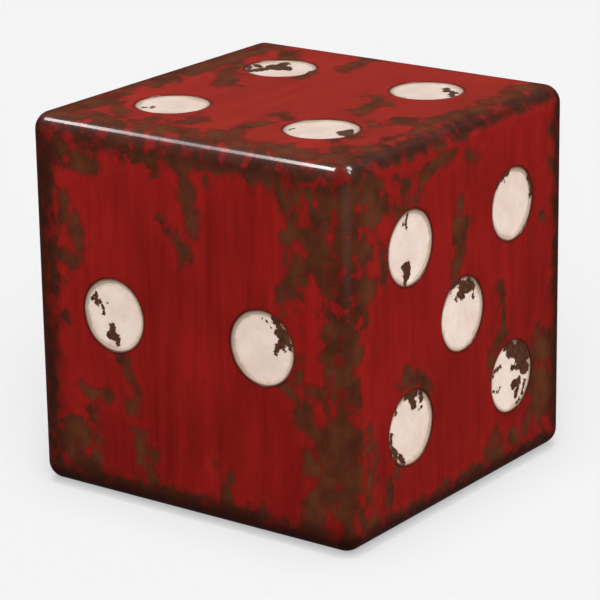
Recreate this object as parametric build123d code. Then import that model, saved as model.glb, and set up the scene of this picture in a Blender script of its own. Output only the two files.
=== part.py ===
from build123d import *

import os

# A furniture-size hollow wooden die: six mitred panels with every outside edge rounded over, pips that are
# dished discs let into round sockets, and a joiner's frame of posts, cleats and splines inside.
# Millimetres. +Z is up, -Y is the front, and the origin is on the floor under the centre of the cube.

# ---- Driving dimensions --------------------------------------------------------------------------------
EDGE = 457.2  # outside width, depth and height of the cube, 18 inches
EDGE_ROUND = 22.0  # radius of the round-over along all twelve edges
PANEL_THICKNESS = 19.0

PIP_DIAMETER = 88.9  # 3.5 inches
PIP_PITCH = 107.5  # from the middle of a face to its outer rows of pips
PIP_THICKNESS = 10.0
PIP_DISH_DEPTH = 2.0  # from the face of the cube down to the floor of a dish
PIP_RIM_WIDTH = 1.4  # flat ring round the top of a dish
PIP_RIM_DROP = 0.8  # the ring lies this far below the face of the cube
PIP_WALL_SPREAD = 3.4  # the dish's wall leans outwards by this much from floor to ring
PIP_COVE_RADIUS = 5.0  # between the floor and the wall of a dish
PIP_GLUE_LINE = 0.15  # radial gap between a pip and its socket
SOCKET_ARRIS_RADIUS = 1.0  # softened rim of each socket

POST_WIDTH = 38.0
CLEAT_WIDTH = 20.0
CLEAT_LENGTH = 300.0

SPLINE_THICKNESS = 3.2
SPLINE_WIDTH = 12.0
SPLINE_LENGTH = 310.0
SPLINE_INSET = 13.0  # depth of the splines below each of the two faces that meet
SPLINE_SLOT_SLACK = 0.5  # glue room past each edge and end of a spline

SCREW_SPACING = 180.0  # between the two screws along each side of the bottom panel
SCREW_LENGTH = 35.0
SCREW_SHANK_DIAMETER = 4.0
SCREW_HEAD_DIAMETER = 8.0
SCREW_TIP_LENGTH = 5.0
SCREW_HOLE_CLEARANCE = 0.05  # radial, in the cleats and round the countersunk head
SCREW_RECESS_WIDTH = 1.2  # width of each arm of the cross recess
SCREW_RECESS_LENGTH = 4.6
SCREW_RECESS_DEPTH = 2.0

GLIDE_DIAMETER = 25.0
GLIDE_THICKNESS = 3.0  # the cube stands this far above the floor
GLIDE_EDGE_RADIUS = 1.0
GLIDE_REACH = 178.0  # from the middle of the bottom to each glide, along both sides
NAIL_SHANK_DIAMETER = 2.2
NAIL_HEAD_DIAMETER = 6.0
NAIL_HEAD_THICKNESS = 1.0
NAIL_HEAD_RECESS = 0.8  # the nail's head lies this far above the underside of its glide
NAIL_LENGTH = 15.0
NAIL_HOLE_CLEARANCE = 0.05  # radial

# ---- Derived dimensions --------------------------------------------------------------------------------
HALF = EDGE / 2
INNER_HALF = HALF - PANEL_THICKNESS
CENTRE_HEIGHT = GLIDE_THICKNESS + HALF
BOTTOM_INSIDE = GLIDE_THICKNESS + PANEL_THICKNESS
TOP_INSIDE = GLIDE_THICKNESS + EDGE - PANEL_THICKNESS
INSIDE_HEIGHT = TOP_INSIDE - BOTTOM_INSIDE
PIP_RADIUS = PIP_DIAMETER / 2
SOCKET_RADIUS = PIP_RADIUS + PIP_GLUE_LINE
CLEAT_REACH = INNER_HALF - CLEAT_WIDTH / 2
POST_REACH = INNER_HALF - POST_WIDTH / 2

# ---- The six faces -------------------------------------------------------------------------------------
# Each face's frame has its origin in the middle of the face, x to the right and y up as seen from outside,
# and z outwards.
CUBE_CENTRE = Vector(0, 0, CENTRE_HEIGHT)


def face_plane(right, outward):
    """The frame of the face that looks along outward."""
    return Plane(origin=CUBE_CENTRE + Vector(*outward) * HALF, x_dir=right, z_dir=outward)


FACES = {
    "front": face_plane((1, 0, 0), (0, -1, 0)),
    "right": face_plane((0, 1, 0), (1, 0, 0)),
    "back": face_plane((-1, 0, 0), (0, 1, 0)),
    "left": face_plane((0, -1, 0), (-1, 0, 0)),
    "top": face_plane((1, 0, 0), (0, 0, 1)),
    "bottom": face_plane((1, 0, 0), (0, 0, -1)),
}

# Where each face's pips are, in steps of PIP_PITCH along the face's x and y.
PIPS = {
    "front": [(-1, 0), (1, 0)],
    "right": [(-1, 1), (1, 1), (0, 0), (-1, -1), (1, -1)],
    "back": [(-1, 1), (1, 1), (-1, 0), (1, 0), (-1, -1), (1, -1)],
    "left": [(0, 0)],
    "top": [(-1, 1), (1, 1), (-1, -1), (1, -1)],
    "bottom": [(-1, 1), (0, 0), (1, -1)],
}

# The four vertical corners, as signs along X and Y.
CORNERS = {
    "front_left": (-1, -1),
    "front_right": (1, -1),
    "back_right": (1, 1),
    "back_left": (-1, 1),
}

# The four sides, as the direction of their outward normal in the XY plane.
SIDES = {"front": (0, -1), "right": (1, 0), "back": (0, 1), "left": (-1, 0)}


# ---- Pips ----------------------------------------------------------------------------------------------
def pip_dish():
    """One pip in its face's frame: a disc with a flat floor, a coved and leaning wall, and a flat ring."""
    ring_inner = PIP_RADIUS - PIP_RIM_WIDTH
    corner = (ring_inner - PIP_WALL_SPREAD, -PIP_DISH_DEPTH)
    surface = FilletPolyline(
        (0, -PIP_DISH_DEPTH), corner, (ring_inner, -PIP_RIM_DROP), radius=PIP_COVE_RADIUS
    )
    body = Polyline(
        (ring_inner, -PIP_RIM_DROP),
        (PIP_RADIUS, -PIP_RIM_DROP),
        (PIP_RADIUS, -PIP_THICKNESS),
        (0, -PIP_THICKNESS),
        (0, -PIP_DISH_DEPTH),
    )
    section = make_face(Plane.XZ * (surface + body))
    return revolve(section, Axis.Z)


def pip_socket():
    """What one pip's socket takes out of a panel, with the softened rim."""
    hole = Pos(0, 0, -PIP_THICKNESS / 2) * Cylinder(SOCKET_RADIUS, PIP_THICKNESS)
    flare = Pos(0, 0, -SOCKET_ARRIS_RADIUS / 2) * Cylinder(
        SOCKET_RADIUS + SOCKET_ARRIS_RADIUS, SOCKET_ARRIS_RADIUS
    )
    rounding = Pos(0, 0, -SOCKET_ARRIS_RADIUS) * Torus(
        SOCKET_RADIUS + SOCKET_ARRIS_RADIUS, SOCKET_ARRIS_RADIUS
    )
    return hole + (flare - rounding)


def pip_places(face):
    """The place of each of a face's pips."""
    return [
        FACES[face].location * Pos(PIP_PITCH * across, PIP_PITCH * up, 0) for across, up in PIPS[face]
    ]


# ---- Splines that key the mitres -----------------------------------------------------------------------
def spline_blank(slack):
    """A spline along its own Z, its width along X across the mitre, with slack past its edges and ends."""
    return Box(SPLINE_WIDTH + 2 * slack, SPLINE_THICKNESS, SPLINE_LENGTH + 2 * slack)


def spline_plane(outward_a, outward_b):
    """The frame of the spline between two faces, given their outward normals."""
    along = outward_a.cross(outward_b)
    reach = HALF - SPLINE_INSET
    return Plane(
        origin=CUBE_CENTRE + (outward_a + outward_b) * reach, x_dir=outward_a - outward_b, z_dir=along
    )


def spline_planes():
    """The name, the two faces and the frame of each spline: four upright ones and four round the top."""
    planes = {}
    for name, (side_x, side_y) in CORNERS.items():
        faces = ("right" if side_x > 0 else "left", "back" if side_y > 0 else "front")
        planes[f"{name}_spline"] = (faces, spline_plane(Vector(side_x, 0, 0), Vector(0, side_y, 0)))
    for side, (x, y) in SIDES.items():
        planes[f"top_{side}_spline"] = ((side, "top"), spline_plane(Vector(x, y, 0), Vector(0, 0, 1)))
    return planes


# ---- Screws, glides and nails --------------------------------------------------------------------------
def screw_places():
    """Places on the underside, with z up into the cube: two screws under each bottom cleat."""
    places = []
    for x, y in SIDES.values():
        for step in (-0.5, 0.5):
            along = step * SCREW_SPACING
            places.append(Pos(CLEAT_REACH * x - along * y, CLEAT_REACH * y + along * x, GLIDE_THICKNESS))
    return places


def turned_screw(clearance, shank_end):
    """A screw's round outer shape, head down at z = 0, larger by clearance. Its tip starts at shank_end."""
    head_radius = SCREW_HEAD_DIAMETER / 2 + clearance
    shank_radius = SCREW_SHANK_DIAMETER / 2 + clearance
    outline = Polyline(
        (0, 0),
        (head_radius, 0),
        (shank_radius, head_radius - shank_radius),
        (shank_radius, shank_end),
        (0, SCREW_LENGTH),
        close=True,
    )
    return revolve(make_face(Plane.XZ * outline), Axis.Z)


def screw():
    """A countersunk wood screw with a cross recess and a pointed tip."""
    body = turned_screw(0, SCREW_LENGTH - SCREW_TIP_LENGTH)
    arm = Pos(0, 0, SCREW_RECESS_DEPTH / 2) * Box(SCREW_RECESS_LENGTH, SCREW_RECESS_WIDTH, SCREW_RECESS_DEPTH)
    return body - arm - Rot(0, 0, 90) * arm


def screw_hole():
    """The hole that one screw passes through, with a hair of clearance and a flat end."""
    return turned_screw(SCREW_HOLE_CLEARANCE, SCREW_LENGTH)


def glide_places():
    """Places on the floor under the four glides."""
    return {name: Pos(GLIDE_REACH * x, GLIDE_REACH * y, 0) for name, (x, y) in CORNERS.items()}


def nail_shank(radius):
    """A nail's shank, or the hole for it, from its head upwards."""
    base = NAIL_HEAD_RECESS + NAIL_HEAD_THICKNESS
    return Pos(0, 0, base + NAIL_LENGTH / 2) * Cylinder(radius, NAIL_LENGTH)


def nail():
    """A flat-headed nail, head down in its glide."""
    head = Pos(0, 0, NAIL_HEAD_RECESS + NAIL_HEAD_THICKNESS / 2) * Cylinder(
        NAIL_HEAD_DIAMETER / 2, NAIL_HEAD_THICKNESS
    )
    return head + nail_shank(NAIL_SHANK_DIAMETER / 2)


def glide():
    """A round nylon glide that stands on z = 0, with a recess and a hole for its nail."""
    disc = Pos(0, 0, GLIDE_THICKNESS / 2) * Cylinder(GLIDE_DIAMETER / 2, GLIDE_THICKNESS)
    disc = fillet(disc.edges().group_by(Axis.Z)[0], GLIDE_EDGE_RADIUS)
    recess_depth = NAIL_HEAD_RECESS + NAIL_HEAD_THICKNESS
    recess_radius = NAIL_HEAD_DIAMETER / 2 + NAIL_HOLE_CLEARANCE
    recess = Pos(0, 0, recess_depth / 2) * Cylinder(recess_radius, recess_depth)
    return disc - recess - nail_shank(NAIL_SHANK_DIAMETER / 2 + NAIL_HOLE_CLEARANCE)


# ---- Panels --------------------------------------------------------------------------------------------
def mitred_blank():
    """A square panel in its face's frame, mitred at 45 degrees on all four sides."""
    section = Polyline(
        (-HALF, 0), (HALF, 0), (INNER_HALF, -PANEL_THICKNESS), (-INNER_HALF, -PANEL_THICKNESS), close=True
    )
    prism = extrude(make_face(Plane.XZ * section), HALF, both=True)
    return prism & (Rot(0, 0, 90) * prism)


def panel(face, cube, splines):
    """One face's panel, with its rounded edges, its pip sockets and its spline slots."""
    solid = (FACES[face].location * mitred_blank()) & cube
    for place in pip_places(face):
        solid -= place * pip_socket()
    for faces, plane in splines.values():
        if face in faces:
            solid -= plane.location * spline_blank(SPLINE_SLOT_SLACK)
    if face == "bottom":
        for place in screw_places():
            solid -= place * screw_hole()
        for place in glide_places().values():
            solid -= place * nail_shank(NAIL_SHANK_DIAMETER / 2 + NAIL_HOLE_CLEARANCE)
    return solid


# ---- Inner frame ---------------------------------------------------------------------------------------
def posts():
    """An upright post in each vertical corner, from the bottom panel to the top panel."""
    post = Box(POST_WIDTH, POST_WIDTH, INSIDE_HEIGHT)
    height = BOTTOM_INSIDE + INSIDE_HEIGHT / 2
    return {
        f"{name}_post": Pos(POST_REACH * x, POST_REACH * y, height) * post for name, (x, y) in CORNERS.items()
    }


def cleats():
    """Square cleats between the posts, four round the bottom panel and four round the top panel."""
    levels = {"bottom": BOTTOM_INSIDE + CLEAT_WIDTH / 2, "top": TOP_INSIDE - CLEAT_WIDTH / 2}
    made = {}
    for level, height in levels.items():
        for side, (x, y) in SIDES.items():
            length_x = CLEAT_LENGTH if y else CLEAT_WIDTH
            length_y = CLEAT_LENGTH if x else CLEAT_WIDTH
            place = Pos(CLEAT_REACH * x, CLEAT_REACH * y, height)
            cleat = place * Box(length_x, length_y, CLEAT_WIDTH)
            if level == "bottom":
                for hole in screw_places():
                    cleat -= hole * screw_hole()
            made[f"{level}_{side}_cleat"] = cleat
    return made


# ---- Assembly ------------------------------------------------------------------------------------------
def assemble():
    """Every node's shape, by name."""
    block = Pos(0, 0, CENTRE_HEIGHT) * Box(EDGE, EDGE, EDGE)
    cube = fillet(block.edges(), EDGE_ROUND)
    splines = spline_planes()

    nodes = {f"{face}_panel": panel(face, cube, splines) for face in FACES}
    for face in FACES:
        for number, place in enumerate(pip_places(face), start=1):
            nodes[f"{face}_pip_{number}"] = place * pip_dish()
    nodes.update(posts())
    nodes.update(cleats())
    for name, (_, plane) in splines.items():
        nodes[name] = plane.location * spline_blank(0)
    nodes["bottom_panel_screws"] = Compound([place * screw() for place in screw_places()])
    for name, place in glide_places().items():
        nodes[f"{name}_glide"] = place * glide()
    nodes["glide_nails"] = Compound([place * nail() for place in glide_places().values()])
    return nodes


os.makedirs("parts", exist_ok=True)
for node, shape in assemble().items():
    shape.label = node
    export_step(shape, f"parts/{node}.step")
    print(node, round(shape.volume))
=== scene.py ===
import functools
import math

import bpy
import numpy as np
from mathutils import Matrix, Vector


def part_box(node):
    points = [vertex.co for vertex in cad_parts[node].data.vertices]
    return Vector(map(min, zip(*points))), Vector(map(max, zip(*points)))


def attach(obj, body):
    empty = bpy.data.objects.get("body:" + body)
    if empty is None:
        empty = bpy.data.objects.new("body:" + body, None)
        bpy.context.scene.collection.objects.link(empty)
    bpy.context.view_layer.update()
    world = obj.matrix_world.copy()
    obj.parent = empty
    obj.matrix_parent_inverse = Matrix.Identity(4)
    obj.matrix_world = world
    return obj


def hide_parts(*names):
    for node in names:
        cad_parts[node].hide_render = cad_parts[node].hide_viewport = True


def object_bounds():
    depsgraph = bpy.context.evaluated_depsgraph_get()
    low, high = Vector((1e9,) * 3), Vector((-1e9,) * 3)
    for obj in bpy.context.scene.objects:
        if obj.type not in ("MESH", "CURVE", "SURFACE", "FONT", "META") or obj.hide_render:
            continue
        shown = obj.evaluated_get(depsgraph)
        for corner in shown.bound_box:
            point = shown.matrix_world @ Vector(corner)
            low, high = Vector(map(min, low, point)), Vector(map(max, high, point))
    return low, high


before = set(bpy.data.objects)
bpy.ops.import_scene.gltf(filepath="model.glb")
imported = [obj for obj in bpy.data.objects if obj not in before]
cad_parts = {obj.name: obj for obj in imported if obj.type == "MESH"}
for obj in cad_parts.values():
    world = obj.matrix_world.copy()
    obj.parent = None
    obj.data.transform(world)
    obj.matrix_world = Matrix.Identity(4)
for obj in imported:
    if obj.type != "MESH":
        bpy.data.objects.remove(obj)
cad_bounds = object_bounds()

# The looks of a furniture-size distressed wooden die: dense panels and dished pips in place of the plain CAD
# ones, worn red and chipped cream paint, and bare wood, steel and nylon for the rest. Metres.

MM = 0.001
BODY = "root"
UV_NAME = "OFBake"  # each piece's own map, which gives the painted side most of the room

# ---- Sizes, from the frame ----
low, high = (np.array(corner) for corner in cad_bounds)
EDGE = high[0] - low[0]
HALF = EDGE / 2
CENTRE = np.array([(low[0] + high[0]) / 2, (low[1] + high[1]) / 2, high[2] - HALF])
panel_low, panel_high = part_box("front_panel")
PANEL_THICKNESS = panel_high.y - panel_low.y
INNER_HALF = HALF - PANEL_THICKNESS
# A panel ends half-way round the round-over, so its width gives the radius.
EDGE_ROUND = (EDGE - (panel_high.x - panel_low.x)) / 2 / (1 - math.sqrt(0.5))
FLAT = HALF - EDGE_ROUND
REACH = FLAT + EDGE_ROUND * math.pi / 4  # from a face's middle to its mitre, measured over the round-over
MITRE = FLAT + EDGE_ROUND * math.sqrt(0.5)  # the same, measured straight

# ---- Sizes that the CAD repeats ----
PIP_DISH_DEPTH = 2 * MM
PIP_RIM_WIDTH = 1.4 * MM
PIP_RIM_DROP = 0.8 * MM
PIP_WALL_SPREAD = 3.4 * MM
PIP_COVE = 5 * MM
PIP_GLUE_LINE = 0.15 * MM
SOCKET_ARRIS = 1.0 * MM
SPLINE_INSET = 13 * MM
SPLINE_THICKNESS = 3.2 * MM
SLOT_HALF_LENGTH = 161 * MM
SLOT_DEPTH = 6.5 * MM
SCREW_SPACING = 180 * MM
SCREW_HEAD_RADIUS = 4.05 * MM
SCREW_SHANK_RADIUS = 2.05 * MM
NAIL_RADIUS = 1.15 * MM
SCREW_HOLE_DEPTH = 18.5 * MM
NAIL_HOLE_DEPTH = 14 * MM

# ---- How fine the meshes are ----
FLAT_DIVISIONS = 138  # across the flat of a face, about 3 mm each
ARC_DIVISIONS = 8  # round half of a round-over
PIP_SEGMENTS = 144
PIP_FLOOR_RINGS = 26
# From a hole to the sides of the square block that is cut out round it, and the rings of quads between.
SOCKET_MARGIN = 8 * MM
SCREW_MARGIN = 3 * MM
NAIL_MARGIN = 2 * MM
SOCKET_RINGS = 6
HOLE_RINGS = 2

PAINT_SLOT, WOOD_SLOT = 0, 1  # a panel's materials

# Each face's right, up and outward directions, as seen from outside.
FACES = {
    "front": ((1, 0, 0), (0, 0, 1), (0, -1, 0)),
    "right": ((0, 1, 0), (0, 0, 1), (1, 0, 0)),
    "back": ((-1, 0, 0), (0, 0, 1), (0, 1, 0)),
    "left": ((0, -1, 0), (0, 0, 1), (-1, 0, 0)),
    "top": ((1, 0, 0), (0, 1, 0), (0, 0, 1)),
    "bottom": ((1, 0, 0), (0, -1, 0), (0, 0, -1)),
}


def to_frame(face, local):
    """Points given as right, up and out from the middle of a face, in the part's frame."""
    right, up, out = (np.array(axis, float) for axis in FACES[face])
    return CENTRE + local[..., :1] * right + local[..., 1:2] * up + (local[..., 2:] + HALF) * out


def to_face(face, point):
    """How far right and up of the middle of a face a point of the frame is."""
    right, up, _ = (np.array(axis, float) for axis in FACES[face])
    offset = np.array(point) - CENTRE
    return np.array([offset @ right, offset @ up])


def smooth(x):
    """Rises from 0 to 1 with no corner as x goes from 0 to 1."""
    x = np.clip(x, 0, 1)
    return x * x * (3 - 2 * x)


def unit(direction):
    """The direction with a length of 1."""
    return np.array(direction, float) / np.linalg.norm(direction)


def with_third(plane, third):
    """Points or directions of two coordinates, given a third that is the same for all."""
    return np.concatenate([plane, np.full(plane.shape[:-1] + (1,), float(third))], -1)


def around(angles):
    """The unit directions at these angles."""
    return np.stack([np.cos(angles), np.sin(angles)], -1)


def add_object(name, data):
    made = bpy.data.objects.new(name, data)
    bpy.context.scene.collection.objects.link(made)
    return made


# ---- Camera ----
CAMERA_AZIMUTH = math.radians(36.19)
CAMERA_ELEVATION = math.radians(17.81)
CAMERA_ROLL = math.radians(-0.88)
CAMERA_DISTANCE = 7.847 * EDGE
CAMERA_LENS = 178.7  # millimetres
CAMERA_SENSOR = 36  # millimetres
CAMERA_SEES_TO = 50
CAMERA_OFFSET = (-0.0085 * EDGE, -0.0482 * EDGE)  # to the right and up of the line to the cube's centre


def make_camera():
    level_back = Vector((math.sin(CAMERA_AZIMUTH), -math.cos(CAMERA_AZIMUTH), 0))
    back = level_back * math.cos(CAMERA_ELEVATION) + Vector((0, 0, math.sin(CAMERA_ELEVATION)))
    level = Vector((0, 0, 1)).cross(back).normalized()
    upright = back.cross(level)
    right = level * math.cos(CAMERA_ROLL) + upright * math.sin(CAMERA_ROLL)
    up = upright * math.cos(CAMERA_ROLL) - level * math.sin(CAMERA_ROLL)
    place = Vector(CENTRE) + back * CAMERA_DISTANCE + right * CAMERA_OFFSET[0] + up * CAMERA_OFFSET[1]
    data = bpy.data.cameras.new("camera")
    data.lens = CAMERA_LENS
    data.sensor_width = CAMERA_SENSOR
    data.clip_end = CAMERA_SEES_TO
    camera = add_object("camera", data)
    camera.matrix_world = Matrix.Translation(place) @ Matrix((right, up, back)).transposed().to_4x4()
    bpy.context.scene.camera = camera


# ---- Meshes from patches ----
WELD_DISTANCE = 0.01 * MM


class Patchwork:
    """A mesh collected from patches, each with points, normals and map places, and welded at the end."""

    def __init__(self):
        self.points = []
        self.corners = []
        self.normals = []
        self.places = []
        self.slots = []
        self.count = 0

    def grid(self, points, normals, places, slot, keep=None):
        """A grid of quads. Its faces turn to the side that the normals are on; keep drops some of them."""
        rows, columns = points.shape[:2]
        index = np.arange(rows * columns).reshape(rows, columns)
        quads = np.stack([index[:-1, :-1], index[:-1, 1:], index[1:, 1:], index[1:, :-1]], -1)
        quads = quads.reshape(-1, 4) if keep is None else quads[keep]
        flat_points, flat_normals = points.reshape(-1, 3), normals.reshape(-1, 3)
        across = flat_points[quads[:, 2]] - flat_points[quads[:, 0]]
        along = flat_points[quads[:, 3]] - flat_points[quads[:, 1]]
        away = np.einsum("ij,ij->i", np.cross(across, along), flat_normals[quads].sum(1)) < 0
        quads[away] = quads[away, ::-1]
        self.corners.extend(quads + self.count)
        self.normals.extend(flat_normals[quads])
        self.places.extend(places.reshape(-1, 2)[quads])
        self.slots.extend([slot] * len(quads))
        self.points.append(flat_points)
        self.count += len(flat_points)

    def polygon(self, points, facing, place, slot):
        """One flat face, drawn on a small square of the map whose corner is place."""
        normal = unit(facing)
        area = np.cross(points, np.roll(points, -1, 0)).sum(0)
        points = points if area @ normal > 0 else points[::-1]
        spread = points[:, np.argsort(np.ptp(points, axis=0))[-2:]]
        spread = (spread - spread.min(0)) / np.ptp(spread, axis=0).max()
        self.corners.append(self.count + np.arange(len(points)))
        self.normals.append(np.broadcast_to(normal, points.shape))
        self.places.append(np.array(place[:2]) + spread * place[2])
        self.slots.append(slot)
        self.points.append(points)
        self.count += len(points)

    def build(self, name, materials, attributes):
        """The object, with close points welded, and with attributes worked out for each point."""
        points = np.concatenate(self.points)
        rounded = np.round(points / WELD_DISTANCE)
        _, first, weld = np.unique(rounded, axis=0, return_index=True, return_inverse=True)
        weld = weld.reshape(-1)
        faces, normals, places, slots = [], [], [], []
        for corners, normal, place, slot in zip(self.corners, self.normals, self.places, self.slots):
            welded = weld[corners]
            distinct = welded != np.roll(welded, 1)
            if distinct.sum() < 3:
                continue
            faces.append(welded[distinct].tolist())
            normals.append(normal[distinct])
            places.append(place[distinct])
            slots.append(slot)
        mesh = bpy.data.meshes.new(name)
        mesh.from_pydata(points[first].tolist(), [], faces)
        for material in materials:
            mesh.materials.append(material)
        mesh.polygons.foreach_set("material_index", slots)
        mesh.polygons.foreach_set("use_smooth", [True] * len(faces))
        layer = mesh.uv_layers.new(name=UV_NAME)
        layer.data.foreach_set("uv", np.concatenate(places).astype(np.float32).ravel())
        for key, values in attributes.items():
            layer = mesh.attributes.new(key, "FLOAT", "POINT")
            layer.data.foreach_set("value", values(points[first]).astype(np.float32))
        mesh.normals_split_custom_set(np.concatenate(normals).tolist())
        return add_object(name, mesh)


# ---- Where paint has worn off ----
# Each stroke is a half-width in millimetres and the points of its line, in percent of the edge to the right
# and down from a face's top left corner. A stroke of one point is a round patch.
WORN = {
    "front": [
        (11, (5.5, 10), (6.5, 22)), (9, (4.5, 68), (5, 78)), (11, (8, 9), (14, 11.5), (21, 10.5)),
        (9, (10, 20), (11.5, 25)), (10, (15, 26), (15.5, 33)), (10, (10, 36.5), (15.5, 37)),
        (6, (5, 42), (10, 43)), (6, (9, 53), (11, 54)), (8, (27, 59), (29, 61)), (6, (31, 66), (33, 70)),
        (6, (31.5, 73), (31, 75)), (5, (14, 70.5), (17, 73), (24.5, 72.5)), (17, (12, 84), (17, 85)),
        (7, (17, 77), (18, 80)), (12, (8, 87), (15, 93)), (9, (19, 90), (20, 97)),
        (5, (33.5, 80), (34.5, 86)), (9, (37, 85), (37.5, 91), (38, 98)), (5, (34, 88), (36, 92)),
        (4.5, (58.5, 83.5), (59, 86)), (7, (61.5, 87.5), (61, 91), (61, 95)), (5, (72.5, 91), (73, 93)),
        (15, (97, 66), (95, 73), (94, 80), (92, 86), (88.5, 92)), (9, (90, 71), (93, 74)),
        (8, (86, 94), (90, 95)), (12, (98.5, 6), (98, 33)), (12, (98, 66), (98, 95)),
        (12, (87, 6), (93, 8)), (7, (79, 6), (80, 12)), (12, (84, 16), (88, 20)),
        (13, (92, 10), (93, 20), (89, 26)), (8, (82, 20), (84, 20)), (7, (91, 26), (93, 30)),
        (7, (85, 26), (86, 30)), (14, (84, 33.5)), (7, (79, 35.5), (80, 39)),
        (9, (98, 40), (94, 46), (96, 55)), (6, (84.5, 51), (84.5, 56)), (6, (87, 58.5), (91, 59)),
        (6.5, (81, 58.5), (84, 62.5), (86, 67)), (6, (87, 69), (90, 71)), (6.5, (30, 6), (31, 8.5)),
        (6.5, (40, 5), (42, 9)), (6, (48, 7), (50, 10)), (6, (54, 6), (57, 9)), (5, (63, 6), (66, 7)),
        (4, (70, 5.5), (72, 7)), (8, (50, 11), (52.5, 15), (52, 20), (53, 23.5)), (7, (45.5, 24.5)),
        (3, (43, 21.5), (44, 23)), (7, (47.5, 26.5), (50, 29), (49.5, 31)),
    ],
    "right": [
        (14, (3, 6), (6, 8), (9, 5)), (11, (5, 14), (12, 16)), (8, (15, 13), (21, 15.5)),
        (6, (24, 15), (28, 14.5)), (13, (5, 22), (7, 24)), (14, (3, 31), (8, 32)),
        (7, (14, 22), (14.5, 31)), (8, (11, 6), (14, 8)), (4, (20, 7), (25, 10)), (5, (40, 6.5)),
        (6, (53.5, 8.5), (54, 10)), (6, (57.5, 10)), (4, (30, 11), (31, 12.5)), (5, (49, 20), (49.5, 24)),
        (9, (47, 25), (50.5, 26)), (11, (48, 28), (48.5, 33), (47, 38), (47.5, 41)),
        (8, (93, 11), (95, 14)), (6, (92, 19), (94, 21)), (6, (94, 27), (93, 30)), (3, (88, 33)),
        (8, (96, 40), (95, 50), (96, 62)), (9, (3, 46), (4, 48)), (10, (24, 60), (29, 62)),
        (7, (31, 63), (34, 65.5)), (6, (68.5, 47), (69, 53), (69, 57)), (8, (69, 60), (67, 63)),
        (7, (64.5, 64), (64, 68)), (16, (88, 69), (95, 70)), (12, (96, 64), (96, 92)),
        (18, (86, 78), (92, 84)), (11, (84, 86), (80, 90)), (7, (72, 90), (76, 91)), (6, (65, 87.5)),
        (9, (63, 92), (68, 94)), (8, (50, 94.5), (58, 95.5)), (13, (0, 70), (2, 80)), (5, (5, 75)),
        (7, (19.5, 83), (20, 85)), (7, (16.5, 86), (17.5, 90)), (7, (15, 94), (15.5, 97)), (6, (7, 88)),
        (7, (3, 86), (5, 93)),
    ],
    "top": [
        (14, (8, 10), (9, 30), (9, 45)), (10, (9, 50), (10, 60)), (12, (8, 72), (10, 85), (8, 95)),
        (10, (10, 7), (17, 11), (23, 18)), (9, (13, 29), (19, 41), (26, 50)), (8, (13, 80), (20, 87)),
        (8, (40.5, 5), (41, 12), (41, 20)), (5, (37, 26), (37, 33)), (10, (67, 40), (71.5, 45), (71, 54)),
        (10, (92, 10), (95, 20), (93, 30)), (14, (96, 38), (93, 50)), (13, (85, 56), (93, 58)),
        (7, (80, 62), (82, 64.5)), (5, (84, 72), (84.5, 76)), (6, (56, 68), (60, 70)),
        (8, (58.5, 76), (56.5, 84), (57, 88)), (9, (39, 82), (43, 83), (40, 87)), (7, (31, 88), (34, 94)),
        (10, (10, 97), (25, 95)), (9, (53, 90), (58, 97)), (6, (65, 95)), (12, (76, 93), (82, 95)),
        (8, (88, 84), (90, 90)), (5, (82, 81)), (12, (95, 90), (96, 97)),
    ],
}

# Bands where paint and wood show about equally.
PATCHY = {
    "front": [
        (14, (5, 5), (5, 55)), (8, (4.5, 55), (5, 97)), (13, (4, 4.5), (97, 4.5)), (16, (95, 5), (96, 62)),
        (9, (20, 96), (97, 96)), (9, (84, 10), (84, 30)), (8, (88, 62), (88, 80)),
    ],
    "right": [
        (8, (12, 2), (50, 2.5)), (4, (50, 2), (97, 2)), (18, (3, 5), (5, 38)), (13, (10, 9), (22, 13)),
        (9, (2, 40), (3, 97)), (9, (8, 69), (11, 95)), (7, (30, 9), (46, 7)), (11, (96.5, 5), (96.5, 60)),
        (8, (10, 96), (95, 96)), (14, (86, 66), (90, 90)), (10, (62, 90), (80, 90)),
    ],
    "top": [
        (16, (4, 3), (5, 97)), (17, (5, 95.5), (95, 95.5)), (17, (96.5, 5), (96.5, 97)),
        (5, (3, 1.5), (97, 1.5)),
    ],
}

# Islands of paint left inside the worn places.
KEPT = {
    "front": [
        (7, (13, 5.5), (15, 7)), (5, (13, 10.5)), (4, (7.5, 24.5), (9, 26)), (9, (10, 30), (12, 32)),
        (7, (8, 30)), (8, (6, 49), (6, 51)), (10, (94.5, 91), (95.5, 94)), (5, (86, 6.5), (89.5, 6)),
        (5, (90, 10.5)), (4.5, (87, 16.5)), (3.5, (96, 12)), (5, (94.5, 18.5), (95, 20)), (3, (94, 25)),
        (4, (97.5, 27), (97, 28.5)), (5, (98.5, 38.5)),
    ],
    "right": [
        (4, (17, 10), (21, 11)), (4, (92, 76)), (6, (90, 90), (93, 93)), (4, (10, 11)), (6, (10, 20)),
        (4.5, (0.5, 18)), (4, (4, 10.5), (5, 12)), (4, (4.5, 26.5)),
    ],
    "top": [
        (8, (14, 16), (16, 24)), (7, (96, 70), (95, 76)),
    ],
}

WORN_SEED = 7
WORN_FADE = 14 * MM  # the ragged border of a worn place lies within about this of its stroke's edge
WORN_PEAK = 0.60
PATCHY_PEAK = 0.10
UNWORN = -1.5
EDGE_PATCHES = 30  # on each hidden face
RUNS = 4


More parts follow.
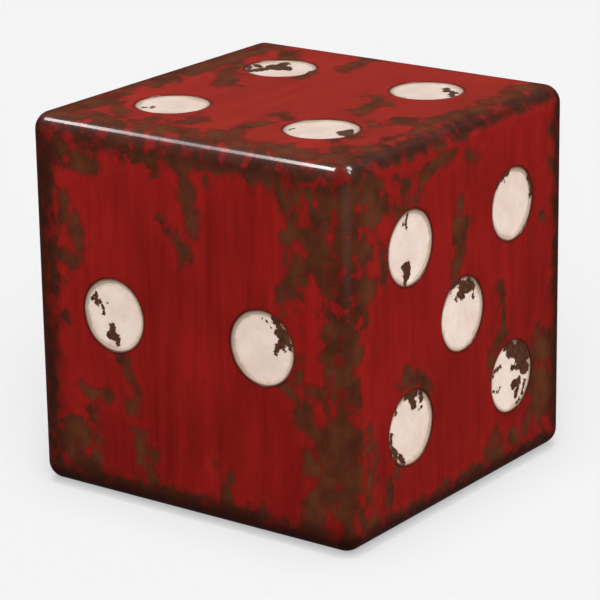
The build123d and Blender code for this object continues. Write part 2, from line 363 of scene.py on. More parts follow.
def invented_strokes(rng):
    """Wear for a face that isn't in the photograph: ragged patches from the edges, and a few runs."""
    strokes = []
    for _ in range(EDGE_PATCHES):
        near, along, length = rng.uniform(2, 13), rng.uniform(5, 95), rng.uniform(2, 12)
        side = rng.choice(4)
        line = [(near, along), (near + rng.uniform(-2, 3), min(along + length, 97))]
        turned = [
            line,
            [(100 - x, y) for x, y in line],
            [(y, x) for x, y in line],
            [(y, 100 - x) for x, y in line],
        ]
        strokes.append((rng.uniform(5, 13), *turned[side]))
    for _ in range(RUNS):
        x, y = rng.uniform(15, 85), rng.uniform(10, 80)
        end = (x + rng.uniform(-1, 1), y + rng.uniform(4, 10))
        strokes.append((rng.uniform(5, 9), (x, y), end))
    return strokes


def border_strokes(inset, left, right, top, bottom):
    """A stroke along each side of a face, this far in, with a half-width for each."""
    near, far = inset, 100 - inset
    return [
        (left, (near, near), (near, far)),
        (right, (far, near), (far, far)),
        (top, (near, near), (far, near)),
        (bottom, (near, far), (far, far)),
    ]


def over_edge(place):
    """Points and normals of a face's surface, from how far right and up they are over the round-over."""
    beyond = np.sign(place) * np.clip(np.abs(place) - FLAT, 0, None)
    normal = with_third(np.tan(beyond / EDGE_ROUND), 1)
    normal /= np.linalg.norm(normal, axis=-1, keepdims=True)
    return with_third(np.clip(place, -FLAT, FLAT), -EDGE_ROUND) + EDGE_ROUND * normal, normal


def on_surface(face, right, up):
    """The point of the cube's surface under a place on a face's plane, no further than the mitre."""
    plane = np.clip([right, up], -MITRE, MITRE)
    angle = np.arcsin(np.clip((np.abs(plane) - FLAT) / EDGE_ROUND, 0, 1))
    place = np.sign(plane) * (np.minimum(np.abs(plane), FLAT) + EDGE_ROUND * angle)
    return to_frame(face, over_edge(place)[0])


def lines_on_surface(strokes, peak):
    """Each stroke's half-width, greatest level and line in the part's frame, laid over the round-overs."""
    lines = []
    for face, listed in strokes.items():
        for half_width, *points in listed:
            line = [on_surface(face, (x / 100 - 0.5) * EDGE, (0.5 - y / 100) * EDGE) for x, y in points]
            lines.append((half_width * MM, peak, np.array(line)))
    return lines


def distance_to_line(points, line):
    """The least distance from each point to a line of one point or more."""
    if len(line) == 1:
        return np.linalg.norm(points - line[0], axis=-1)
    found = np.full(len(points), np.inf)
    for start, end in zip(line[:-1], line[1:]):
        run = end - start
        share = np.clip((points - start) @ run / (run @ run), 0, 1)
        found = np.minimum(found, np.linalg.norm(points - start - share[:, None] * run, axis=-1))
    return found


def stroke_level(points, worn, kept, fade):
    """Above 0 where worn and below 0 where painted. It changes by 1 over a distance of fade, or half of it at
    the border of a kept island."""
    level = np.full(len(points), UNWORN)
    for half_width, peak, line in worn:
        level = np.maximum(level, np.minimum((half_width - distance_to_line(points, line)) / fade, peak))
    for half_width, peak, line in kept:
        beyond = distance_to_line(points, line) - half_width
        level = np.minimum(level, np.maximum(2 * beyond / fade, -peak))
    return level


rng = np.random.default_rng(WORN_SEED)
for hidden_face in ("back", "left", "bottom"):
    WORN[hidden_face] = invented_strokes(rng)
PATCHY["back"] = PATCHY["left"] = border_strokes(3, 14, 14, 12, 10)
PATCHY["bottom"] = border_strokes(0, 16, 16, 16, 16)
WORN_LINES = lines_on_surface(WORN, WORN_PEAK) + lines_on_surface(PATCHY, PATCHY_PEAK)
KEPT_LINES = lines_on_surface(KEPT, WORN_PEAK)

# ---- Dark glaze and painted shade along the edges ----
# For the side of a face towards a neighbour, how dark it is and how far in from the round-over it reaches:
# glaze, with painted shade that is strongest on the bottom edges and on the front-left and right-back upright
# edges. A side that isn't listed takes what the neighbour's side has, or else OTHER_GLAZE_AND_SHADE.
GLAZE_AND_SHADE = {
    ("front", "left"): (0.85, 46 * MM),
    ("front", "right"): (0.05, 10 * MM),
    ("front", "top"): (0.48, 38 * MM),
    ("front", "bottom"): (0.95, 33 * MM),
    ("right", "top"): (0.64, 6 * MM),
    ("right", "back"): (0.95, 32 * MM),
    ("right", "bottom"): (0.95, 20 * MM),
    ("top", "front"): (0.48, 0),
}
OTHER_GLAZE_AND_SHADE = (0.66, 16 * MM)


def edge_glaze_and_shade(face, local):
    """How dark the glaze and painted shade are at points of a face: most on the cube's edges, and none on the
    flat.
    """
    found = np.zeros(len(local))
    sides = [local[:, 0], local[:, 1], -local[:, 0], -local[:, 1]]
    for reach, neighbour in zip(sides, neighbours(face)):
        strength, width = GLAZE_AND_SHADE.get((face, neighbour)) or GLAZE_AND_SHADE.get((neighbour, face)) or OTHER_GLAZE_AND_SHADE
        found = np.maximum(found, strength * smooth((reach - FLAT + width) / (MITRE - FLAT + width)))
    return found


# ---- Chips in the pips' paint ----
# As the strokes above, but the points are right and up from a pip's middle, in percent of its radius.
CHIPS = {
    "front_pip_1": [
        (3, (-62, 50), (-58, 24)), (2.6, (-72, 34), (-50, 30)), (2.2, (-40, 20), (-39, -2)), (1, (-22, 32)),
        (4.2, (-10, -32), (-10, -50)), (5, (-20, -58), (4, -60)), (3, (6, -66), (10, -78)),
    ],
    "front_pip_2": [
        (5, (40, 84), (56, 64)), (7, (55, 48), (66, 34)), (4.2, (74, 54), (84, 22)), (4, (54, 24), (44, 2)),
        (2.2, (42, -10)), (2.2, (66, 16), (70, 4)), (1.6, (84, 14), (95, 8)), (1, (25, 60)), (0.9, (0, 80)),
        (0.9, (12, 72)),
    ],
    "right_pip_1": [
        (3, (-8, 88), (-12, 78)), (2.6, (-26, 70), (-15, 68)), (2, (-12, 54)),
        (7.5, (-10, -48), (-12, -70)), (4, (-28, -44)), (4, (-20, -82), (-22, -92)),
    ],
    "right_pip_2": [
        (5.5, (-50, 84), (-22, 92)), (3.4, (-80, 62), (-62, 76)), (2.4, (-35, 74)),
        (2.4, (76, 58), (93, 26), (93, 0)),
    ],
    "right_pip_3": [
        (3.4, (-50, 84), (-10, 92)), (2.6, (-48, 70)), (8, (2, 74), (30, 64)), (5, (30, 84), (56, 58)),
        (4, (-14, 56), (10, 46)), (1.8, (-28, 46), (-24, 40)), (2, (58, 44), (58, 28)),
    ],
    "right_pip_4": [
        (5.5, (-16, 92), (26, 86)), (5.5, (6, 76), (18, 54)), (4, (44, 86), (52, 60)),
        (1.8, (40, 36), (55, 42)), (3, (-68, 72), (-64, 56)), (3, (-88, 4), (-90, -20)),
        (5, (-84, -34), (-64, -60)), (4.4, (-48, -66), (-34, -84)), (1.4, (-72, -2), (-80, 6)),
    ],
    "right_pip_5": [
        (6, (-28, 92), (10, 84)), (9.5, (0, 72), (34, 58)), (10, (42, 50), (66, 22)),
        (8, (50, 22), (76, 0)), (4, (10, 20), (34, 16)), (6, (16, -32), (46, -28)),
        (4, (42, -42), (30, -66)), (2.6, (-84, 34), (-48, 38)), (2, (-96, 28), (-85, 20)),
        (1.2, (-86, -20), (-60, -30), (-52, -20)), (5, (36, 86), (70, 66), (90, 34)),
        (2.4, (74, -36), (62, -66)), (1.6, (46, -82), (30, -88)),
    ],
    "top_pip_1": [
        (8, (-32, 60), (-28, 34)), (12, (-34, 18), (-16, 10)), (7, (0, 26), (14, 12)),
        (8, (-40, -14), (-52, -42)), (5, (-66, -50), (-60, -66)), (5, (-86, 5), (-70, -5)),
        (3.5, (-92, -20), (-80, -40)), (4, (88, 30), (96, -10)),
    ],
    "top_pip_2": [
        (5, (22, 60), (40, 36)), (4.5, (48, 40), (72, 30)), (4.5, (66, 20), (84, -4)),
        (1.5, (-20, -82), (-10, -90)),
    ],
    "top_pip_3": [
        (4, (-36, -42)), (4, (-52, -58)), (2, (-26, -54)), (3.6, (-12, -98), (12, -100)),
    ],
    "top_pip_4": [
        (8, (58, 12), (74, 0)), (4, (60, 40), (78, 22)), (3, (86, 10), (96, -24)),
        (2, (-74, -20), (-70, -42)),
    ],
}
CHIP_FADE = 3.5 * MM
CHIP_PEAK = 1.0
CHIP_SEED = 23


def hash_name(name):
    """A small number that is always the same for a name."""
    return sum(ord(letter) * (place + 1) for place, letter in enumerate(name))


def invented_chips(node):
    """Chips for a pip that isn't in the photograph: a few ragged ones, mostly near the wall."""
    rng = np.random.default_rng(CHIP_SEED + hash_name(node))
    chips = []
    for _ in range(rng.integers(2, 5)):
        angle, out = rng.uniform(0, 2 * math.pi), rng.uniform(35, 90)
        start = around(angle) * out
        chips.append((rng.uniform(1.5, 5), start, start + rng.uniform(-20, 20, 2)))
    return chips


# ---- Shader graphs ----
def colour(red, green, blue):
    """An sRGB colour of 0 to 255, as the linear one that a shader takes."""
    channels = [
        value / 255 / 12.92 if value <= 10 else ((value / 255 + 0.055) / 1.055) ** 2.4
        for value in (red, green, blue)
    ]
    return (*channels, 1.0)


class Graph:
    """One material's nodes, added and joined by short calls that each return an output socket."""

    def __init__(self, name):
        self.material = bpy.data.materials.new(name)
        self.material.use_nodes = True
        self.tree = self.material.node_tree
        self.tree.nodes.clear()

    def add(self, kind, inputs=None, **settings):
        """A new node, given its inputs as values or as sockets to join."""
        node = self.tree.nodes.new(kind)
        for key, value in settings.items():
            setattr(node, key, value)
        for key, value in (inputs or {}).items():
            if isinstance(value, bpy.types.NodeSocket):
                self.tree.links.new(value, node.inputs[key])
            else:
                node.inputs[key].default_value = value
        return node

    @functools.cached_property
    def where(self):
        """The object's own coordinates."""
        return self.add("ShaderNodeTexCoord").outputs["Object"]

    def math(self, operation, first, second=0.0, third=0.0, clamp=False):
        inputs = {0: first, 1: second, 2: third}
        return self.add("ShaderNodeMath", inputs, operation=operation, use_clamp=clamp).outputs[0]

    def attribute(self, name):
        return self.add("ShaderNodeAttribute", attribute_name=name).outputs["Fac"]

    def drawn_out(self, axis, share):
        """The object's coordinates, scaled along one axis so that a pattern is drawn out along it."""
        scales = [share if number == axis else 1.0 for number in range(3)]
        return self.add("ShaderNodeVectorMath", {0: self.where, 1: scales}, operation="MULTIPLY").outputs[0]

    def noise(self, where, scale, detail=4.0, roughness=0.55, distortion=0.0):
        """Noise about 0, mostly within -1 to 1."""
        inputs = {"Vector": where, "Scale": scale, "Detail": detail, "Roughness": roughness}
        node = self.add("ShaderNodeTexNoise", {**inputs, "Distortion": distortion})
        return self.math("MULTIPLY_ADD", node.outputs["Fac"], 4.0, -2.0)

    def ramp(self, value, low, high, start=0.0, end=1.0):
        """start where the value is below low, end where it is above high, and smooth between."""
        inputs = {"Value": value, "From Min": low, "From Max": high, "To Min": start, "To Max": end}
        node = self.add("ShaderNodeMapRange", inputs, interpolation_type="SMOOTHSTEP")
        return node.outputs["Result"]

    def blend(self, share, first, second):
        """From the first value to the second as share goes from 0 to 1."""
        inputs = {"Factor": share, "A": first, "B": second}
        return self.add("ShaderNodeMix", inputs, data_type="FLOAT").outputs["Result"]

    def mix(self, share, first, second):
        """From the first colour to the second as share goes from 0 to 1."""
        inputs = {"Factor": share, 6: first, 7: second}  # 6 and 7 are the node's two colours
        return self.add("ShaderNodeMix", inputs, data_type="RGBA").outputs[2]

    def bump(self, height, distance):
        return self.add("ShaderNodeBump", {"Height": height, "Distance": distance}).outputs["Normal"]

    def surface(self, **inputs):
        """The Principled surface, whose inputs are named in lower case with underscores."""
        named = {key.replace("_", " ").title().replace("Ior", "IOR"): value for key, value in inputs.items()}
        return self.finish(self.add("ShaderNodeBsdfPrincipled", named))

    def finish(self, shader):
        self.add("ShaderNodeOutputMaterial", {"Surface": shader.outputs[0]})
        return self.material


# Brush marks run up the sides, along Z, and from front to back on the top, along Y.
SIDE_GRAIN = 2
TOP_GRAIN = 1

THIN_RED = colour(80, 26, 18)
RED_IN_BROWN = colour(98, 32, 21)
BROWN_GLAZE_AND_SHADE = colour(56, 23, 13)
WORN_BORDER = colour(56, 20, 14)
RED_GLAZE_AND_SHADE = colour(46, 18, 11)
CREAMS = (colour(230, 206, 192), colour(242, 223, 211))
CREAM_SPECKS = colour(206, 176, 156)
WALL_STAIN_AND_SHADE = colour(160, 126, 92)
CORNER_LINE = colour(120, 90, 64)
RIM_STAIN_AND_SHADE = colour(78, 48, 32)
CHIP_WOODS = (colour(66, 34, 20), colour(92, 54, 32))


def red_paint(name, grain, reds, browns, softness, stain):
    """Brushed red paint, worn through to brown in ragged patches, darkened at the edges by glaze and painted
    shade, and varnished.
    softness is how gradually it gives way to brown, and stain how much brown shows where it is thin."""
    g = Graph(name)
    wear, edge, glaze_and_shade, rim = (g.attribute(key) for key in ("wear", "edge", "glaze_and_shade", "rim"))

    ragged_inside = g.noise(g.drawn_out(grain, 0.7), 58, 7, 0.66)
    ragged_edge = g.noise(g.where, 52, 7, 0.66)
    ragged = g.blend(g.ramp(edge, 0.0, 0.5), ragged_inside, ragged_edge)
    level = g.math("MULTIPLY_ADD", ragged, 1.1, wear)
    worn = g.ramp(level, 0.03 - softness, 0.03 + softness)

    # The red's tone: brush marks on the flat, clouds, lighter beside worn places, and painted light that
    # makes it lighter towards the top.
    flatness = g.ramp(edge, 0.0, 0.35, 1, 0)
    streaks = g.noise(g.drawn_out(grain, 0.03), 300, 3, 0.6)
    streaks = g.math("MULTIPLY", streaks, flatness)
    bands = g.noise(g.drawn_out(grain, 0.12), 60, 4, 0.6)
    bands = g.math("MULTIPLY", bands, flatness)
    mottle = g.noise(g.where, 95, 4, 0.6)
    lively = g.math("MULTIPLY_ADD", mottle, 0.55, 0.35)
    height_for_painted_light = g.add("ShaderNodeSeparateXYZ", {0: g.where}).outputs["Z"]
    tone = g.math("MULTIPLY_ADD", streaks, 0.22, 0.23)
    tone = g.math("MULTIPLY_ADD", bands, 0.30, tone)
    tone = g.math("MULTIPLY_ADD", g.noise(g.where, 8, 3, 0.5), 0.30, tone)
    # Painted light: the red is lighter towards the top.
    tone = g.math("MULTIPLY_ADD", height_for_painted_light, 0.50 / EDGE, tone)
    tone = g.math("MULTIPLY_ADD", g.ramp(wear, -1.3, 0.0), lively, tone, clamp=True)
    red = g.mix(tone, *reds)

    # Near a worn place the red is thin, and the wood shows through it faintly.
    thinned = g.math("MULTIPLY_ADD", mottle, 0.6, level)
    red = g.mix(g.ramp(thinned, -0.9, 0.1, 0, stain), red, THIN_RED)

    patina = g.noise(g.where, 30, 4, 0.6)
    brown = g.mix(g.ramp(patina, -0.8, 0.8), *browns)
    brown = g.mix(g.ramp(mottle, -0.2, 1.0, 0, 0.55), brown, RED_IN_BROWN)
    # Where the glaze and painted shade are strong, the worn wood is a darker brown.
    brown = g.mix(g.ramp(glaze_and_shade, 0.0, 0.6, 0, 0.50), brown, BROWN_GLAZE_AND_SHADE)
    paint = g.mix(worn, red, brown)
    border = g.ramp(g.math("ABSOLUTE", level), 0.0, 0.22, 0.22, 0)
    paint = g.mix(border, paint, WORN_BORDER)

    # Glaze and painted shade darken the red along the edges, and a dark line of glaze and painted shade rings
    # each socket.
    glaze_and_shade_level = g.math("MULTIPLY_ADD", g.noise(g.where, 34, 5, 0.65), 0.22, glaze_and_shade)
    dark = g.math("MAXIMUM", g.ramp(glaze_and_shade_level, 0.15, 0.95, 0, 0.9), g.ramp(rim, 0.2, 1.0, 0, 0.6))
    paint = g.mix(dark, paint, RED_GLAZE_AND_SHADE)

    height = g.math("MULTIPLY_ADD", streaks, 0.12, g.math("MULTIPLY", worn, -1.0))
    return g.surface(
        base_color=paint,
        roughness=g.blend(worn, 0.34, 0.42),
        normal=g.bump(height, 0.12 * MM),
        specular_ior_level=0.08,
        coat_weight=0.32,
        coat_roughness=0.10,
    )


def cream_paint(name):
    """Cream paint on a dished pip, chipped to dark wood, with brown glaze and painted shade on the wall and
    the rim.
    """
    g = Graph(name)
    chip, out = g.attribute("chip"), g.attribute("out")

    ragged = g.noise(g.where, 210, 8, 0.72)
    chipped = g.ramp(g.math("MULTIPLY_ADD", ragged, 1.15, chip), -0.02, 0.05)

    clouds = g.noise(g.where, 26, 4, 0.6)
    fine = g.noise(g.where, 160, 4, 0.65)
    cream = g.mix(g.ramp(clouds, -0.8, 0.9), *CREAMS)
    cream = g.mix(g.ramp(fine, 0.1, 1.2, 0, 0.4), cream, CREAM_SPECKS)

    # out is 0 at a pip's middle, 1 where its floor ends and 2 at its rim.
    uneven = g.noise(g.where, 30, 4, 0.65)
    wall = g.math("MULTIPLY_ADD", uneven, 0.28, out)
    # Brown glaze and painted shade on the cove and the wall.
    paint = g.mix(g.ramp(wall, 0.85, 1.55, 0, 0.62), cream, WALL_STAIN_AND_SHADE)
    corner = g.math("ABSOLUTE", g.math("SUBTRACT", g.math("MULTIPLY_ADD", uneven, 0.08, out), 1.15))
    line = g.math("MULTIPLY", g.ramp(corner, 0.0, 0.22, 0.4, 0), g.ramp(uneven, -0.7, 0.5))
    paint = g.mix(line, paint, CORNER_LINE)
    rim = g.math("MULTIPLY_ADD", uneven, 0.16, out)
    # Brown glaze and painted shade at the rim.
    paint = g.mix(g.ramp(rim, 1.55, 2.0, 0, 0.85), paint, RIM_STAIN_AND_SHADE)

    paint = g.mix(chipped, paint, g.mix(g.ramp(fine, -0.6, 0.8), *CHIP_WOODS))
    height = g.math("MULTIPLY_ADD", fine, 0.15, g.math("MULTIPLY", chipped, -1.0))
    return g.surface(
        base_color=paint,
        roughness=g.blend(chipped, 0.38, 0.6),
        normal=g.bump(height, 0.2 * MM),
        specular_ior_level=0.25,
        coat_weight=0.15,
        coat_roughness=0.2,
    )


def bare_wood(name, light, dark, grain):
    """Planed softwood or plywood, with its grain along one axis."""
    g = Graph(name)
    rings = g.noise(g.drawn_out(grain, 0.04), 70, 4, 0.6, 0.4)
    fibres = g.noise(g.drawn_out(grain, 0.02), 600, 2, 0.6)
    tone = g.math("MULTIPLY_ADD", fibres, 0.2, g.ramp(rings, -0.8, 0.9))
    wood = g.mix(tone, light, dark)
    return g.surface(base_color=wood, roughness=0.7, normal=g.bump(fibres, 0.1 * MM))


def zinc_steel():
    g = Graph("zinc_steel")
    spangle = g.noise(g.where, 900, 3, 0.6)
    dull = g.mix(g.ramp(spangle, -0.8, 0.8), colour(150, 146, 134), colour(190, 186, 176))
    rough = g.math("MULTIPLY_ADD", spangle, 0.06, 0.38)
    return g.surface(base_color=dull, metallic=1.0, roughness=rough)


def nylon():
    g = Graph("nylon")
    scuffs = g.noise(g.where, 500, 5, 0.65)
    tone = g.mix(g.ramp(scuffs, -0.5, 1.0), colour(58, 38, 28), colour(92, 68, 54))
    return g.surface(base_color=tone, roughness=0.55, normal=g.bump(scuffs, 0.1 * MM))


# ---- Panels ----
# Rooms on a panel's map, in shares of its side.
OUTER_ROOM = (0.005, 0.005, 0.925)
STRIP_START = 0.940
STRIP_STEP = 0.0125
STRIP_WIDTH = 0.7 * STRIP_STEP
STRIPS = 4
SMALL_ROOM = (0.945, 0.945, 0.05)

EDGE_FADE = 14 * MM  # from the round-over in to where a panel's edge attribute ends
RIM_FADE = 3 * MM  # from a socket's rim out to where its dark line of glaze and painted shade ends


def grid_lines():
    """The lines of a face's grid, measured over the round-over from its middle."""
    arc = np.linspace(FLAT, REACH, ARC_DIVISIONS + 1)[1:]
    return np.concatenate([-arc[::-1], np.linspace(-FLAT, FLAT, FLAT_DIVISIONS + 1), arc])


def outer_place(place):
    """Where a point of a face's surface is on the panel's map."""
    x, y, side = OUTER_ROOM
    return np.array([x, y]) + (place / REACH + 1) / 2 * side


def strip_places(rows, columns, number, across):
    """Map places of a long thin patch: in a numbered strip beside the outer room, or above it if across."""
    along = np.linspace(OUTER_ROOM[0], OUTER_ROOM[0] + OUTER_ROOM[2], columns)
    start = STRIP_START + number * STRIP_STEP
    beside = np.linspace(start, start + STRIP_WIDTH, rows)
    beside, along = np.meshgrid(beside, along, indexing="ij")
    return np.stack([along, beside] if across else [beside, along], -1)


def turned_rows(middle, spokes, rows):
    """Points and normals round an axis, for rows that start with a radius, a depth and the normal's lean."""
    points = [with_third(middle + row[0] * spokes, -row[1]) for row in rows]
    normals = [with_third(-math.sin(row[2]) * spokes, math.cos(row[2])) for row in rows]
    return np.array(points), np.array(normals)


def punch(patches, lines, keep, middle, half_block, profile, rings, number, slots):
    """Cuts a square block out of a face's grid and puts a hole in it, with rings of quads round its mouth.
    The profile has a list of rows for each part of the hole, and slots has its material."""
    column = np.searchsorted(lines, [middle[0] - half_block, middle[0] + half_block])
    row = np.searchsorted(lines, [middle[1] - half_block, middle[1] + half_block])
    left, right, bottom, top = column[0] - 1, column[1], row[0] - 1, row[1]
    keep[bottom:top, left:right] = False
    border = np.concatenate(
        [
            [(x, lines[bottom]) for x in lines[left:right]],
            [(lines[right], y) for y in lines[bottom:top]],
            [(x, lines[top]) for x in lines[right:left:-1]],
            [(lines[left], y) for y in lines[bottom : top + 1][::-1]],
        ]
    )
    spokes = around(np.arctan2(border[:, 1] - middle[1], border[:, 0] - middle[0]))
    mouth = middle + profile[0][0][0] * spokes
    share = np.linspace(0, 1, rings + 1)[:, None, None]
    flat = border * (1 - share) + mouth * share
    points = with_third(flat, 0)
    normals = np.broadcast_to((0.0, 0.0, 1.0), points.shape)
    patches.grid(points, normals, outer_place(flat), PAINT_SLOT)
    for slot, rows in zip(slots, profile):
        places = strip_places(len(rows), len(spokes), number, True)
        patches.grid(*turned_rows(middle, spokes, rows), places, slot)


def socket_profile(radius, depth):
    """A pip's socket: its softened rim, its wall and its floor."""
    rim = []
    for lean in np.linspace(0, math.pi / 2, 5):
        rim.append((radius + SOCKET_ARRIS * (1 - math.sin(lean)), SOCKET_ARRIS * (1 - math.cos(lean)), lean))
    wall = [(radius, SOCKET_ARRIS, math.pi / 2), (radius, depth, math.pi / 2)]
    floor = [(radius, depth, 0.0), (0.0, depth, 0.0)]
    return [rim, wall, floor]


def screw_profile(head, shank, depth):
    """A countersunk hole, or a plain one where head and shank are the same."""
    cone = [(head, 0.0, math.pi / 4), (shank, head - shank, math.pi / 4)]
    wall = [(shank, head - shank, math.pi / 2), (shank, depth, math.pi / 2)]
    end = [(shank, depth, 0.0), (0.0, depth, 0.0)]
    return [cone, wall, end] if head > shank else [wall, end]


def mitre(patches, lines, turn, has_slot):
    """The mitred wall on one side of a panel, and the pocket for its spline. turn is in quarter turns."""
    rotation = np.linalg.matrix_power(np.array([[0, -1, 0], [1, 0, 0], [0, 0, 1]]), turn).T.astype(float)
    outer = over_edge(np.stack([np.full(len(lines), REACH), lines], -1))[0]
    inner = np.array([(INNER_HALF, line * INNER_HALF / REACH, -PANEL_THICKNESS) for line in lines])
    outer_depth = HALF - MITRE
    half_mouth = SPLINE_THICKNESS / 2 * math.sqrt(0.5)
    mouth = (SPLINE_INSET - half_mouth, SPLINE_INSET + half_mouth) if has_slot else ()
    shares = [0, *((depth - outer_depth) / (PANEL_THICKNESS - outer_depth) for depth in mouth), 1]
    wall = np.array([outer * (1 - share) + inner * share for share in shares])
    out_of_panel = np.array([1.0, 0.0, -1.0]) / math.sqrt(2)
    keep = np.ones((len(shares) - 1, len(lines) - 1), bool)
    if has_slot:
        inside = np.flatnonzero(np.abs(lines) < SLOT_HALF_LENGTH)
        keep[1, inside[0] : inside[-1]] = False
        pocket(patches, wall[1:3, inside], -out_of_panel * SLOT_DEPTH, rotation)
    places = strip_places(len(shares), len(lines), turn, False)
    normals = np.broadcast_to(out_of_panel @ rotation, wall.shape)
    patches.grid(wall @ rotation, normals, places, WOOD_SLOT, keep)
    return inner[:-1] @ rotation


def pocket(patches, mouth, inward, rotation):
    """Four walls and a bottom behind a long thin mouth of two rows of points."""
    bottom = mouth + inward
    middle = (mouth.mean((0, 1)) + bottom.mean((0, 1))) / 2
    walls = [
        np.array([mouth[0], bottom[0]]),
        np.array([mouth[1], bottom[1]]),
        np.array([mouth[:, 0], bottom[:, 0]]),
        np.array([mouth[:, -1], bottom[:, -1]]),
        bottom,
    ]
    for wall in walls:
        across = wall[-1, 0] - wall[0, 0]
        along = wall[0, -1] - wall[0, 0]
        normal = np.cross(across, along)
        if normal @ (middle - wall.mean((0, 1))) < 0:
            normal = -normal
        rows, columns = wall.shape[:2]
        x, y = np.meshgrid(np.linspace(0, 1, columns), np.linspace(0, 1, rows))
        places = np.array(SMALL_ROOM[:2]) + np.stack([x, y], -1) * SMALL_ROOM[2]
        normals = np.broadcast_to(unit(normal) @ rotation, wall.shape)
        patches.grid(wall @ rotation, normals, places, WOOD_SLOT)


def neighbours(face):
    """The faces to the right, above, to the left and below, as seen from outside."""
    right, up, _ = (np.array(axis) for axis in FACES[face])
    outward = {axes[2]: name for name, axes in FACES.items()}
    return [outward[tuple(direction)] for direction in (right, up, -right, -up)]


def pip_nodes(face):
    return sorted(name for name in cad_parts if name.startswith(f"{face}_pip_"))


def middle_on_face(face, node):
    """How far right and up of the middle of a face the middle of a CAD node is."""
    corner_low, corner_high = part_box(node)
    return to_face(face, (corner_low + corner_high) / 2)


def pip_place(face, node):
    """A pip's middle on its face, its radius and how far its back is below the face."""
    corner_low, corner_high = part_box(node)
    size = sorted(corner_high - corner_low)
    return middle_on_face(face, node), size[2] / 2, size[0] + PIP_RIM_DROP


def screw_middles():
    """Where the screws of the bottom panel are, right and up of its middle."""
    corner_low, corner_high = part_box("bottom_panel_screws")
    reach = (corner_high.x - corner_low.x) / 2 - SCREW_HEAD_RADIUS
    half = SCREW_SPACING / 2
    sides = [(half, reach), (-half, reach)]
    return [np.array(p) for x, y in sides for p in ((x, y), (x, -y), (y, x), (-y, x))]


def cut_holes(patches, lines, keep, face):
    """Cuts a face's sockets, and the bottom's screw and nail holes. Gives the sockets' middles and radii."""
    sockets = []
    for number, node in enumerate(pip_nodes(face)):
        middle, radius, back_depth = pip_place(face, node)
        sockets.append((middle, radius))
        profile = socket_profile(radius + PIP_GLUE_LINE, back_depth)
        slots = (PAINT_SLOT, PAINT_SLOT, WOOD_SLOT)
        block = radius + SOCKET_MARGIN
        punch(patches, lines, keep, middle, block, profile, SOCKET_RINGS, number % STRIPS, slots)
    if face == "bottom":
        profile = screw_profile(SCREW_HEAD_RADIUS, SCREW_SHANK_RADIUS, SCREW_HOLE_DEPTH)
        block = SCREW_HEAD_RADIUS + SCREW_MARGIN
        for middle in screw_middles():
            punch(patches, lines, keep, middle, block, profile, HOLE_RINGS, 0, [WOOD_SLOT] * 3)
        profile = screw_profile(NAIL_RADIUS, NAIL_RADIUS, NAIL_HOLE_DEPTH)
        for corner in ("front_left", "front_right", "back_right", "back_left"):
            middle = middle_on_face(face, f"{corner}_glide")
            block = NAIL_RADIUS + NAIL_MARGIN
            punch(patches, lines, keep, middle, block, profile, HOLE_RINGS, 0, [WOOD_SLOT] * 2)
    return sockets


def paint_attributes(face, sockets):
    """What a panel's paint needs to know at each point, worked out from its place on the face."""

    def wear(local):
        return stroke_level(to_frame(face, local), WORN_LINES, KEPT_LINES, WORN_FADE)

    def edge(local):
        """1 on the cube's edges, falling to 0 on the flat."""
        return smooth((np.abs(local[:, :2]).max(1) - FLAT + EDGE_FADE) / (MITRE - FLAT + EDGE_FADE))

    def glaze_and_shade(local):
        return edge_glaze_and_shade(face, local)

    def rim(local):
        """1 at the rim of a socket and inside it, falling to 0 a little way outside."""
        found = np.zeros(len(local))
        for middle, radius in sockets:
            beyond = np.linalg.norm(local[:, :2] - middle, axis=1) - radius - SOCKET_ARRIS
            found = np.maximum(found, np.clip(1 - beyond / RIM_FADE, 0, 1))
        return found

    return {"wear": wear, "edge": edge, "glaze_and_shade": glaze_and_shade, "rim": rim}


def build_panel(face, paint, wood):
    """One panel, with its sockets, holes, mitres and slots."""
    patches = Patchwork()
    lines = grid_lines()
    keep = np.ones((len(lines) - 1, len(lines) - 1), bool)
    sockets = cut_holes(patches, lines, keep, face)
    place = np.stack(np.meshgrid(lines, lines), -1)
    points, normals = over_edge(place)
    patches.grid(points, normals, outer_place(place), PAINT_SLOT, keep)
    inner_border = []
    for turn, neighbour in enumerate(neighbours(face)):
        has_slot = "bottom" not in (face, neighbour)
        inner_border.append(mitre(patches, lines, turn, has_slot))
    patches.polygon(np.concatenate(inner_border), (0, 0, -1), SMALL_ROOM, WOOD_SLOT)
    made = patches.build(f"painted_{face}_panel", [paint, wood], paint_attributes(face, sockets))
    return settle(made, face, f"{face}_panel")


def settle(made, face, node):
    """Moves a piece from its face's own coordinates into the frame, in place of its CAD node."""
    right, up, out = (Vector(axis) for axis in FACES[face])
    turn = Matrix((right, up, out)).transposed().to_4x4()
    origin = Vector(CENTRE) + out * HALF
    made.data.transform(Matrix.Translation(origin) @ turn)
    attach(made, BODY)
    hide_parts(node)
    return made


# ---- Pips ----
COVE_OUT, RING_OUT, RIM_OUT = 1.3, 1.8, 2.0  # the paint's out, where the cove, the wall and the ring end
COVE_ROWS = 6
WALL_ROWS = 3


